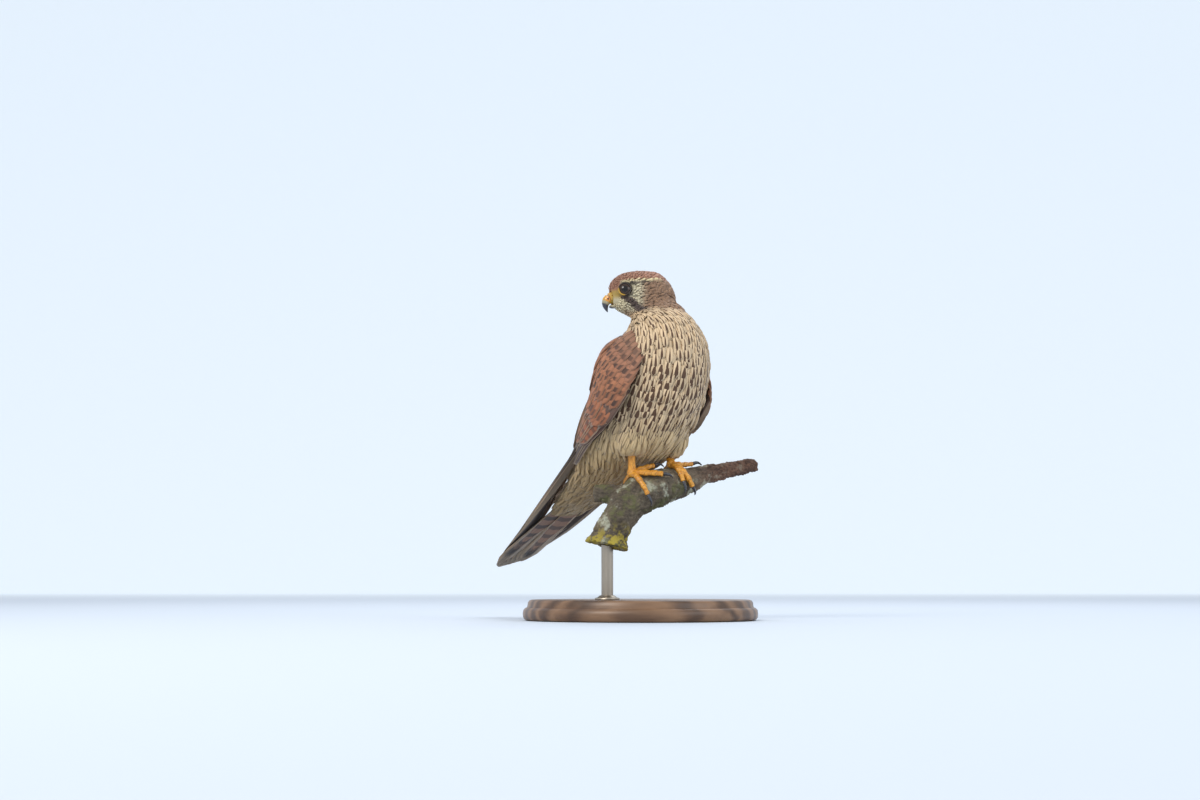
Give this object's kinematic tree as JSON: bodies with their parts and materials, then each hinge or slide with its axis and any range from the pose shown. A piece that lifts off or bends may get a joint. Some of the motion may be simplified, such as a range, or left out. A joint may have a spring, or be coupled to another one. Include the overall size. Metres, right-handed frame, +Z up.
{
  "type": "common kestrel",
  "caption": "Life-size still model of a perched common kestrel looking back over its shoulder, gripping a cut branch on a plain round display stand.",
  "frame": {"origin": "centre of the round base's underside, on the floor", "axes": "+Z up; +X to the right as the picture is seen; +Y away from the viewer. The bird's breast faces 50 degrees from +X towards the viewer, its tail drops away from the viewer to the left."},
  "size_m": [0.1896, 0.2127, 0.2401],
  "materials": {
    "body_feathers": "soft matt feathers, buff with dark streaks",
    "head_feathers": "soft matt feathers, grey-brown",
    "wing_feathers": "matt feathers, rufous with dark bars",
    "tail_feathers": "matt feathers, rufous-brown with dark bars",
    "yellow_skin": "smooth waxy skin",
    "leg_skin": "scaled satin skin",
    "horn": "polished dark horn",
    "eye": "wet gloss",
    "bark": "rough bark with lichen",
    "stand_wood": "oiled turned wood",
    "stand_metal": "brushed rod"
  },
  "bodies": {
    "root": {"torso": "body_feathers", "neck": "body_feathers", "head": "head_feathers", "cere": "yellow_skin", "bill_upper": "horn", "bill_lower": "horn", "eye_left": "eye", "eye_right": "eye", "wing_left": "wing_feathers", "wing_right": "wing_feathers", "tail": "tail_feathers", "thigh_left": "body_feathers", "thigh_right": "body_feathers", "foot_left": "leg_skin", "foot_right": "leg_skin", "claw_left_hallux": "horn", "claw_left_inner": "horn", "claw_left_middle": "horn", "claw_left_outer": "horn", "claw_right_hallux": "horn", "claw_right_inner": "horn", "claw_right_middle": "horn", "claw_right_outer": "horn", "perch": "bark", "stand_base": "stand_wood", "stand_rod": "stand_metal"}
  },
  "joints": []
}
